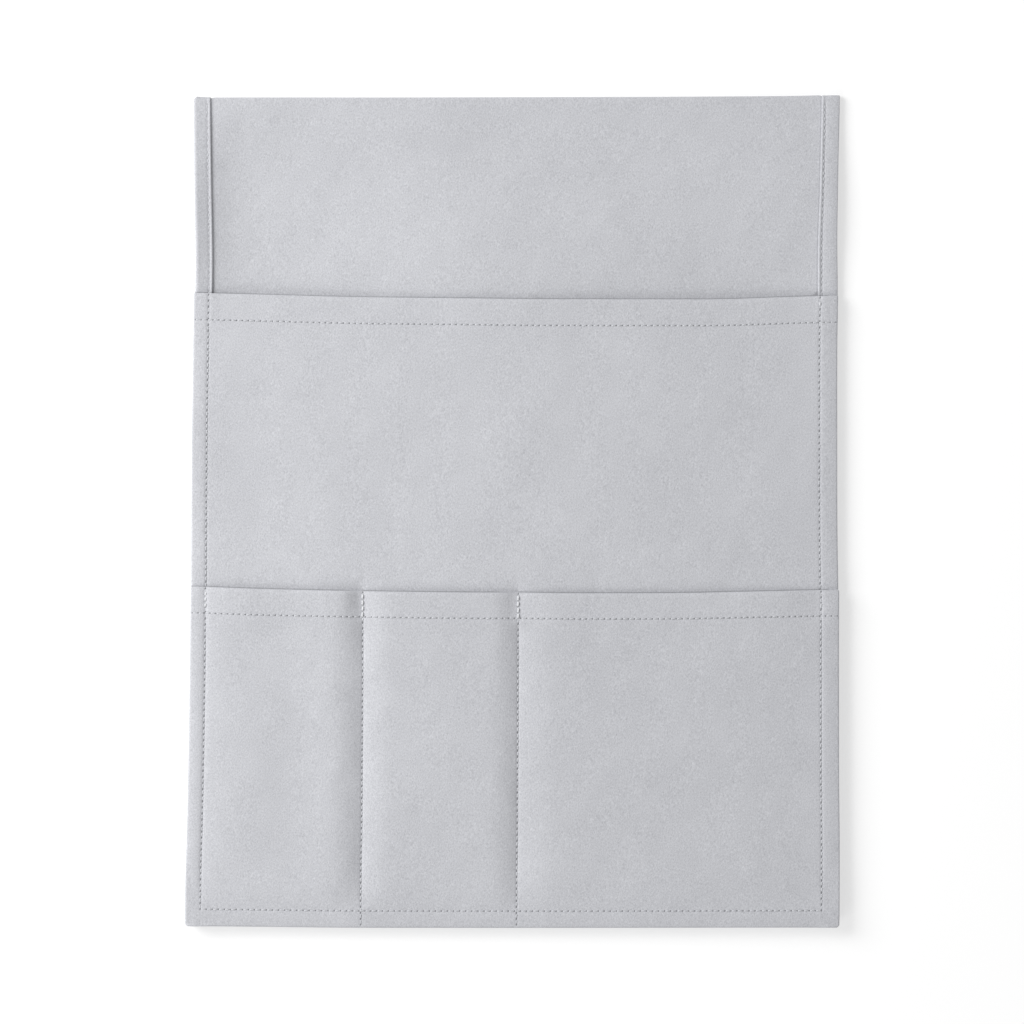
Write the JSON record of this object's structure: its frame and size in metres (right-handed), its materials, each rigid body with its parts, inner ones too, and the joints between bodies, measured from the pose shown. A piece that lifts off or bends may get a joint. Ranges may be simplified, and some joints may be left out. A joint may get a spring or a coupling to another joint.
{
  "type": "couch organizer",
  "caption": "Flat cloth organizer with a wide upper pocket, a divided row of lower pockets and a tuck flap folded behind, for a couch arm or bedside.",
  "frame": {"origin": "middle of the outline seen from above, on the surface that the organizer lies on", "axes": "+X to the right across the front, +Y up the front towards the top fold, +Z out of the front, away from the surface it lies on"},
  "size_m": [0.32, 0.407, 0.0151],
  "materials": {
    "cloth": "brushed faux suede, matt",
    "thread": "spun polyester thread, slight sheen"
  },
  "bodies": {
    "front": {"front_panel": "cloth", "top_fold": "cloth", "upper_pocket": "cloth", "lower_pocket": "cloth", "upper_mouth_seam": "thread", "lower_mouth_seam": "thread", "outer_seam": "thread", "left_hem_seam": "thread", "right_hem_seam": "thread", "left_divider_seam": "thread", "right_divider_seam": "thread", "left_divider_backtack": "thread", "right_divider_backtack": "thread", "upper_left_backtack": "thread", "upper_right_backtack": "thread", "lower_left_backtack": "thread", "lower_right_backtack": "thread"},
    "flap": {"tuck_flap": "cloth", "flap_hem_seam": "thread"}
  },
  "joints": [
    {"name": "flap_fold", "type": "hinge", "parent": "front", "child": "flap", "pos_m": [0, 0.20175, 0.00175], "axis": [1, 0, 0], "range_deg": [0, 180], "deforming": ["top_fold"]}
  ]
}
